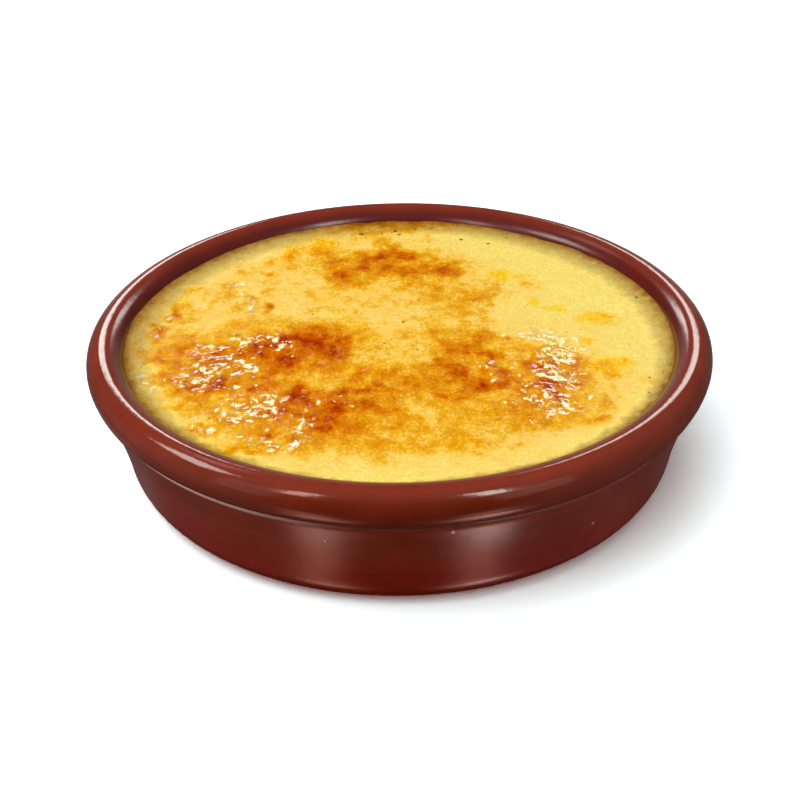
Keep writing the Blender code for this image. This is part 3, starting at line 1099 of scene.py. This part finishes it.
@dataclass
class Custard:
    """The custard with its crust: a finely meshed top, and a body down to the dish's floor."""

    dish: Dish
    crust: Crust = field(default_factory=Crust)
    finish: BurntSugarCrust = field(default_factory=BurntSugarCrust)
    rim_points: int = 1200
    grid_span: int = 300
    into_wall: float = 0.25 * MM

    def body_rings(self) -> list[Point2]:
        """The rings (r, z) of the body under its top, each just inside the dish's wall."""
        cavity = self.dish.cavity()[::4]
        return [(r + self.into_wall, z - 0.2 * self.into_wall) for r, z in cavity]

    def build(self) -> bpy.types.Object:
        """Fills a circle with a grid, pulls its edge down to the floor, then raises the crust.

        Returns:
            The custard.
        """
        crust_radius = self.crust.radius_mm * MM + self.into_wall
        level = self.crust.level_mm * MM
        bpy.ops.object.select_all(action="DESELECT")
        bpy.ops.mesh.primitive_circle_add(
            vertices=self.rim_points, radius=crust_radius, fill_type="NOTHING", location=(0.0, 0.0, level)
        )
        custard = bpy.context.object
        start_edit(custard)
        bpy.ops.mesh.fill_grid(span=self.grid_span)
        bpy.ops.mesh.select_all(action="SELECT")
        bpy.ops.mesh.region_to_loop()
        radius, height = crust_radius, level
        for next_radius, next_height in self.body_rings():
            bpy.ops.mesh.extrude_region_move(
                TRANSFORM_OT_translate={"value": (0.0, 0.0, next_height - height)}
            )
            grow = next_radius / radius
            bpy.ops.transform.resize(value=(grow, grow, 1.0), center_override=(0.0, 0.0, 0.0))
            radius, height = next_radius, next_height
        bpy.ops.mesh.edge_face_add()
        bpy.ops.mesh.poke()
        end_edit(custard, "custard_crust", self.finish.build())
        self.raise_crust(custard, level)
        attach(custard, BODY)
        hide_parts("custard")
        return custard

    def raise_crust(self, custard: bpy.types.Object, level: float) -> None:
        """Gives the top its relief and writes its layers as attributes.

        Args:
            custard: The piece, its top still flat.
            level: The top's height.
        """
        mesh = custard.data
        places = np.empty(len(mesh.vertices) * 3, np.float32)
        mesh.vertices.foreach_get("co", places)
        places = places.reshape(-1, 3)
        top = np.nonzero(np.abs(places[:, 2] - level) < SAME_PLACE)[0]
        x, y = (places[top, axis].astype(float) / MM for axis in (0, 1))
        layers = self.crust.layers(x, y)
        places[top, 2] = self.crust.heights(x, y, layers) * MM
        mesh.vertices.foreach_set("co", places.ravel())
        for kind, values in layers.items():
            whole = np.zeros(len(mesh.vertices), np.float32)
            whole[top] = values
            mesh.attributes.new(kind.value, "FLOAT", "POINT").data.foreach_set("value", whole)
        mesh.update()


# ---------------------------------------------------------------- scattered small things


@dataclass(frozen=True)
class Spot:
    """Where one small thing lies: its place and radius in metres, what it faces, and its flatness."""

    place: Vector
    facing: Vector
    radius: float
    flatness: float


@dataclass
class Scatter:
    """Many small things joined in one piece, each a rough dome half sunk in a surface."""

    name: str
    slot: str
    seed: int
    segments: int = 8
    rings: int = 6
    sunk: float = 0.1
    uneven: Point2 = (0.9, 1.1)
    stretched: Point2 = (0.9, 1.7)

    def build(self, spots: Sequence[Spot], material: bpy.types.Material) -> bpy.types.Object:
        """Copies one ball to every spot, each copy roughened and squashed, and joins the copies.

        Args:
            spots: Where the copies lie.
            material: Their finish.

        Returns:
            The joined piece.
        """
        dice = Random(self.seed)
        bpy.ops.object.select_all(action="DESELECT")
        bpy.ops.mesh.primitive_uv_sphere_add(segments=self.segments, ring_count=self.rings, radius=1.0)
        ball = bpy.context.object
        start_edit(ball)
        bpy.ops.mesh.bisect(
            plane_co=(0.0, 0.0, -self.sunk), plane_no=(0.0, 0.0, 1.0), clear_inner=True, use_fill=True
        )
        bpy.ops.object.mode_set(mode="OBJECT")
        corners = np.array([vertex.co[:] for vertex in ball.data.vertices])
        faces = [tuple(polygon.vertices) for polygon in ball.data.polygons]
        bpy.data.objects.remove(ball, do_unlink=True)
        points, shells = [], []
        for spot in spots:
            rough = corners * np.array([[dice.uniform(*self.uneven)] for _ in corners])
            longer = spot.radius * dice.uniform(*self.stretched)
            squash = Matrix.Diagonal((longer, spot.radius, spot.radius * spot.flatness))
            spin = Matrix.Rotation(dice.uniform(0, 2 * math.pi), 3, "Z")
            turn = spot.facing.to_track_quat("Z", "Y").to_matrix() @ spin @ squash
            start = len(points)
            points.extend((turn @ Vector(corner) + spot.place)[:] for corner in rough)
            shells.extend(tuple(start + index for index in face) for face in faces)
        mesh = bpy.data.meshes.new(self.name)
        mesh.from_pydata(points, [], shells)
        piece = bpy.data.objects.new(self.name, mesh)
        bpy.context.scene.collection.objects.link(piece)
        start_edit(piece)
        end_edit(piece, self.name, material)
        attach(piece, BODY)
        return piece


@dataclass
class Toppings:
    """What lies in and on the crust: sugar drops and vanilla specks, and grit under the dish's glaze."""

    custard: Custard
    dish: Dish
    drop_count: int = 420
    drop_tries: int = 12000
    drop_reach_mm: float = 55.0
    drop_sink_mm: float = 0.06
    drop_radius_mm: Point2 = (0.3, 0.8)
    drop_tilt: float = 0.16
    drop_flatness: Point2 = (0.2, 0.36)
    drops_from_melt: float = 0.25
    drops_per_melt: float = 0.5
    speck_count: int = 90
    speck_sink_mm: float = 0.02
    speck_radius_mm: Point2 = (0.08, 0.17)
    speck_spread_x: Point2 = (4.0, 15.0)
    speck_spread_y: Point2 = (-2.0, 14.0)
    speck_flatness: float = 0.35
    grit_flatness: float = 0.45
    seed: int = 41

    def on_crust(self, flat: Sequence[tuple[float, float, float]]) -> list[Vector]:
        """Finds places on the crust.

        Args:
            flat: For each place its x and y, and how deep it is sunk, in millimetres.

        Returns:
            The places, in metres.
        """
        x, y, sink = (np.array([row[i] for row in flat]) for i in range(3))
        crust = self.custard.crust
        height = crust.heights(x, y, crust.layers(x, y)) - sink
        return [Vector(row) * MM for row in zip(x.tolist(), y.tolist(), height.tolist())]

    def drops(self, crust_material: bpy.types.Material) -> bpy.types.Object:
        """Drops and grains of melted sugar, thickest in the glassy patches and toned like the crust.

        Args:
            crust_material: The crust's own finish, which the drops share.

        Returns:
            The joined drops.
        """
        dice = Random(self.seed)
        crust = self.custard.crust
        span = self.drop_reach_mm
        count = range(self.drop_tries)
        tries = [(dice.uniform(-span, span), dice.uniform(-span, span), dice.random()) for _ in count]
        x, y, luck = (np.array([row[i] for row in tries]) for i in range(3))
        melt = crust.layers(x, y)[CrustLayer.MELT]
        wanted = (np.hypot(x, y) < span) & (luck < self.drops_per_melt * (melt - self.drops_from_melt))
        chosen = np.nonzero(wanted)[0][: self.drop_count]
        flat = [(float(x[i]), float(y[i]), self.drop_sink_mm) for i in chosen]
        spots = []
        for place in self.on_crust(flat):
            radius = dice.uniform(*self.drop_radius_mm) * MM
            lean_x, lean_y = dice.gauss(0.0, self.drop_tilt), dice.gauss(0.0, self.drop_tilt)
            facing = Vector((lean_x, lean_y, 1.0)).normalized()
            spots.append(Spot(place, facing, radius, dice.uniform(*self.drop_flatness)))
        piece = Scatter("sugar_drops", self.custard.finish.slot, seed=11).build(spots, crust_material)
        corners = np.array([vertex.co[:2] for vertex in piece.data.vertices]) / MM
        layers = crust.layers(corners[:, 0], corners[:, 1])
        layers[CrustLayer.MELT] = np.ones(len(corners))
        for kind, values in layers.items():
            data = piece.data.attributes.new(kind.value, "FLOAT", "POINT").data
            data.foreach_set("value", values.astype(np.float32))
        return piece

    def vanilla(self) -> bpy.types.Object:
        """Vanilla specks, fine ones over the middle and a few coarse ones, most along the back edge.

        Returns:
            The joined specks.
        """
        dice = Random(self.seed + 1)
        fine = []
        for _ in range(self.speck_count):
            x, y = dice.gauss(*self.speck_spread_x), dice.gauss(*self.speck_spread_y)
            fine.append((x, y, dice.uniform(*self.speck_radius_mm)))
        coarse = [
            (-8.6, 50.9, 0.55),
            (-0.6, 52.2, 0.5),
            (0.4, 50.2, 0.36),
            (4.2, 53.0, 0.36),
            (8.0, 53.0, 0.32),
            (14.8, 46.6, 0.42),
            (21.0, 44.4, 0.4),
            (25.5, 47.5, 0.35),
            (0.9, 6.2, 0.34),
            (3.8, -6.2, 0.3),
            (-3.0, -3.2, 0.22),
            (-18.6, 10.6, 0.24),
            (50.0, -19.0, 0.3),
            (49.0, -25.0, 0.24),
            (53.0, -17.0, 0.26),
            (52.0, 17.0, 0.34),
        ]
        rows = fine + coarse
        places = self.on_crust([(x, y, self.speck_sink_mm) for x, y, _ in rows])
        up = Vector((0.0, 0.0, 1.0))
        spots = [Spot(place, up, row[2] * MM, self.speck_flatness) for place, row in zip(places, rows)]
        finish = PlainFinish("vanilla_specks", "burnt_custard", "#8A5C16", "#553208", 0.6)
        return Scatter("vanilla_specks", finish.slot, seed=12).build(spots, finish.build())

    def glaze_grit(self) -> bpy.types.Object:
        """Pale grit caught in the glaze of the outer wall.

        Returns:
            The joined grit.
        """
        rows = (
            (-81.4, 20.6, 0.42),
            (-103.3, 17.6, 0.22),
            (-52.0, 12.0, 0.2),
            (24.0, 16.0, 0.3),
            (118.0, 13.0, 0.28),
            (201.0, 18.0, 0.24),
        )
        spots = []
        for bearing_deg, z_mm, radius_mm in rows:
            place, normal = self.dish.wall_point(bearing_deg, z_mm * MM)
            spots.append(Spot(place, normal, radius_mm * MM, self.grit_flatness))
        finish = PlainFinish("glaze_grit", "glazed_earthenware", "#D9B4A6", "#B98573", 0.25)
        return Scatter("glaze_grit", finish.slot, seed=13).build(spots, finish.build())


# ---------------------------------------------------------------- floor, light and camera


class Seen(Enum):
    """Which of the surface's answers a lamp gives: its soft shading, its reflections, or both."""

    BOTH = "both"
    SHADING = "shading"
    REFLECTION = "reflection"


LAMP_AIM = Vector((0.0, 0.0, 20.0 * MM))


@dataclass(frozen=True)
class Softbox:
    """A rectangular lamp that faces the dish, placed by direction.

    bearing_deg runs clockwise from +Y seen from above, height_deg up from the floor, and width_deg
    and tall_deg are its size as the dish sees it. Radiance 1 is the brightness of a white card.
    """

    name: str
    bearing_deg: float
    height_deg: float
    width_deg: float
    tall_deg: float
    radiance: float
    seen: Seen = Seen.BOTH
    tint: str = "#FFFFFF"
    distance: float = 1.1

    def build(self) -> bpy.types.Object:
        """Adds the lamp.

        Returns:
            The lamp.
        """
        bearing, height = math.radians(self.bearing_deg), math.radians(self.height_deg)
        level = math.cos(height)
        out = Vector((math.sin(bearing) * level, math.cos(bearing) * level, math.sin(height)))
        lamp = bpy.data.lights.new(self.name, "AREA")
        lamp.shape = "RECTANGLE"
        lamp.size = 2 * self.distance * math.tan(math.radians(self.width_deg / 2))
        lamp.size_y = 2 * self.distance * math.tan(math.radians(self.tall_deg / 2))
        lamp.energy = self.radiance * math.pi * lamp.size * lamp.size_y
        lamp.color = hex_to_linear(self.tint)[:3]
        holder = bpy.data.objects.new(self.name, lamp)
        holder.location = out * self.distance + LAMP_AIM
        holder.rotation_euler = out.to_track_quat("Z", "Y").to_euler()
        holder.visible_diffuse = self.seen is not Seen.REFLECTION
        holder.visible_glossy = self.seen is not Seen.SHADING
        bpy.context.scene.collection.objects.link(holder)
        return holder


@dataclass(frozen=True)
class Glow:
    """A soft glow of the surroundings that the glaze mirrors.

    Each fade names an axis of the direction looked in, and where along it the glow is none and whole.
    """

    strength: float
    fades: tuple[tuple[str, float, float], ...]


@dataclass
class Studio:
    """A pale floor, soft lamps like tall windows, and the camera."""

    floor_half: float = 4.0
    floor_white: float = 1.65
    floor_tint: tuple[float, float, float] = (0.955, 1.045, 1.05)
    white_from: Span = (0.45, 0.9)
    aim: tuple[float, float, float] = (0.0, -0.0004, 0.0126)
    camera_distance: float = 0.3575
    elevation_deg: float = 30.535
    roll_deg: float = -0.826
    lens_mm: float = 75.1
    sensor_mm: float = 36.0
    room: Glow = Glow(0.11, (("Y", -0.9, -0.4), ("Z", -1.0, -0.2)))
    left: Glow = Glow(0.14, (("X", -0.8, -0.97), ("Z", -0.5, 0.0), ("Z", 0.8, 0.5)))
    above_right: Glow = Glow(0.14, (("X+Z", 0.9, 1.35),))
    sweep: Glow = Glow(0.34, (("|X|", 0.5, 0.3), ("Y", 0.1, 0.5), ("Z", 0.45, 0.0), ("Z", -0.5, -0.36)))
    table: Glow = Glow(0.12, (("X", -0.2, -0.5), ("Y", 0.2, 0.45), ("Z", -0.4, -0.5), ("Z", -0.72, -0.6)))
    under: Glow = Glow(0.05, (("|X|", 0.25, 0.5), ("Z", -0.55, -0.75), ("Y", 0.55, 0.3)))

    def lamps(self) -> list[Softbox]:
        """Lists the lamps: six that only shade, and the windows and glows that the glaze mirrors.

        Returns:
            The lamps.
        """
        warm = "#FFFBF6"
        rose = "#FFA68E"
        seen = Seen.REFLECTION
        return [
            Softbox("overhead", -100.0, 78.0, 62.0, 62.0, 2.25, Seen.SHADING),
            Softbox("fill_front", 190.0, 45.0, 90.0, 30.0, 1.9, Seen.SHADING),
            Softbox("bounce_left", -100.0, -20.0, 60.0, 36.0, 3.2, Seen.SHADING),
            Softbox("bounce_right", 100.0, -20.0, 60.0, 36.0, 2.9, Seen.SHADING),
            Softbox("bounce_front", 180.0, -62.0, 60.0, 30.0, 0.1, Seen.SHADING),
            Softbox("key_left", -105.0, 52.0, 30.0, 30.0, 2.0, Seen.SHADING),
            Softbox("window_back_left", -15.5, 27.0, 15.0, 7.0, 9.0, seen, warm),
            Softbox("window_back_right", 16.0, 30.5, 15.0, 7.0, 7.5, seen, warm, 0.8),
            Softbox("window_left", -93.0, 43.0, 21.0, 17.0, 8.0, seen, warm, 0.45),
            Softbox("window_front_left", -142.0, 40.0, 8.0, 21.0, 9.0, seen, "#FFD9D0"),
            Softbox("window_front_right", 146.5, 42.0, 9.0, 21.0, 11.0, seen, warm),
            Softbox("ceiling_left_far", -44.0, 55.5, 13.0, 6.0, 1.5, seen, warm),
            Softbox("ceiling_left_near", -29.0, 51.0, 13.0, 6.0, 1.3, seen, warm),
            Softbox("glow_left", -128.0, 18.0, 20.0, 44.0, 0.5, seen, warm),
            Softbox("glow_right", 136.0, 17.0, 26.0, 34.0, 0.6, seen, warm),
            Softbox("table_left_pane", -123.0, -69.0, 9.0, 9.0, 1.5, seen, "#FFE2D8"),
            Softbox("table_left", -137.0, -56.0, 9.0, 16.0, 2.3, seen, rose),
            Softbox("table_left_near", -122.0, -71.0, 9.0, 14.0, 2.0, seen, rose),
            Softbox("table_right_pane", 121.0, -69.0, 10.0, 9.0, 2.6, seen, "#FFF6FF"),
            Softbox("table_right", 141.0, -56.0, 10.0, 16.0, 2.1, seen, rose),
            Softbox("table_right_near", 120.0, -72.0, 10.0, 14.0, 2.5, seen, rose),
        ]

    def build(self) -> None:
        """Adds the floor, the lamps, the surrounding light and the camera."""
        self.add_floor()
        for lamp in self.lamps():
            lamp.build()
        self.add_surround()
        self.add_camera()

    def add_floor(self) -> None:
        """Lays the floor, overexposed like a light table, white far out, and kept out of the reflections."""
        bpy.ops.object.select_all(action="DESELECT")
        bpy.ops.mesh.primitive_plane_add(size=2 * self.floor_half, location=(0.0, 0.0, -0.0001))
        floor = bpy.context.object
        floor.name = "floor"
        material, tree, shader = new_material("pale_floor")
        place = add_node(tree, "TexCoord").outputs["Object"]
        reach = add_node(tree, "VectorMath", (place,), operation="LENGTH")
        inputs = {
            "Base Color": (*(self.floor_white * part for part in self.floor_tint), 1.0),
            "Roughness": 0.9,
            "Specular IOR Level": 0.0,
            "Emission Color": (1.0, 1.0, 1.0, 1.0),
            "Emission Strength": add_node(tree, "MapRange", (reach, *self.white_from)),
        }
        fill_inputs(tree, shader, inputs)
        floor.data.materials.append(material)
        floor.visible_glossy = False
        floor.visible_diffuse = False
        floor.visible_shadow = False

    def add_surround(self) -> None:
        """Surrounds the part with what its glaze mirrors: a dim room, and a pale sweep behind."""
        world = bpy.data.worlds.new("soft_surround")
        bpy.context.scene.world = world
        world.use_nodes = True
        world.cycles_visibility.diffuse = False
        tree = world.node_tree
        axes = add_node(tree, "SeparateXYZ", (add_node(tree, "TexCoord").outputs["Generated"],)).outputs
        along = {
            "X": axes["X"],
            "Y": axes["Y"],
            "Z": axes["Z"],
            "|X|": add_node(tree, "Math", (axes["X"],), operation="ABSOLUTE"),
            "X+Z": add_node(tree, "Math", (axes["X"], axes["Z"]), operation="ADD"),
        }
        total = add_node(tree, "LightPath").outputs["Is Camera Ray"]
        for glow in (self.room, self.left, self.above_right, self.sweep, self.table, self.under):
            level = glow.strength
            for axis, none_at, whole_at in glow.fades:
                ends = (0.0, 1.0) if none_at < whole_at else (1.0, 0.0)
                span = (*sorted((none_at, whole_at)), *ends)
                fade = add_node(tree, "MapRange", (along[axis], *span), interpolation_type="SMOOTHSTEP")
                level = add_node(tree, "Math", (level, fade), operation="MULTIPLY")
            total = add_node(tree, "Math", (total, level), operation="ADD")
        fill_inputs(tree, tree.nodes["Background"], {"Color": (1.0, 1.0, 1.0, 1.0), "Strength": total})

    def add_camera(self) -> None:
        """Stands the camera in front, looking down on the crust."""
        elevation = math.radians(self.elevation_deg)
        back = Vector((0.0, -math.cos(elevation), math.sin(elevation)))
        lens = bpy.data.cameras.new("camera")
        lens.lens = self.lens_mm
        lens.sensor_width = self.sensor_mm
        lens.clip_start = 0.01
        camera = bpy.data.objects.new("camera", lens)
        camera.location = Vector(self.aim) + back * self.camera_distance
        tilt = Euler((math.pi / 2 - elevation, 0.0, 0.0)).to_matrix()
        roll = Matrix.Rotation(math.radians(self.roll_deg), 3, "Z")
        camera.rotation_euler = (tilt @ roll).to_euler()
        bpy.context.scene.collection.objects.link(camera)
        bpy.context.scene.camera = camera


def log_piece(piece: bpy.types.Object) -> None:
    """Reports a finished piece's size.

    Args:
        piece: The piece.
    """
    triangles = sum(len(polygon.vertices) - 2 for polygon in piece.data.polygons)
    LOG.info("%s: %d triangles", piece.name, triangles)


def main() -> None:
    """Builds the studio and the pieces in order."""
    logging.basicConfig(level=logging.INFO, format="%(message)s")
    bpy.context.scene.view_settings.view_transform = "Standard"
    Studio().build()
    dish = Dish()
    log_piece(dish.build())
    custard = Custard(dish)
    crust = custard.build()
    log_piece(crust)
    toppings = Toppings(custard, dish)
    log_piece(toppings.drops(crust.data.materials[0]))
    log_piece(toppings.vanilla())
    log_piece(toppings.glaze_grit())


if __name__ == "__main__":
    main()
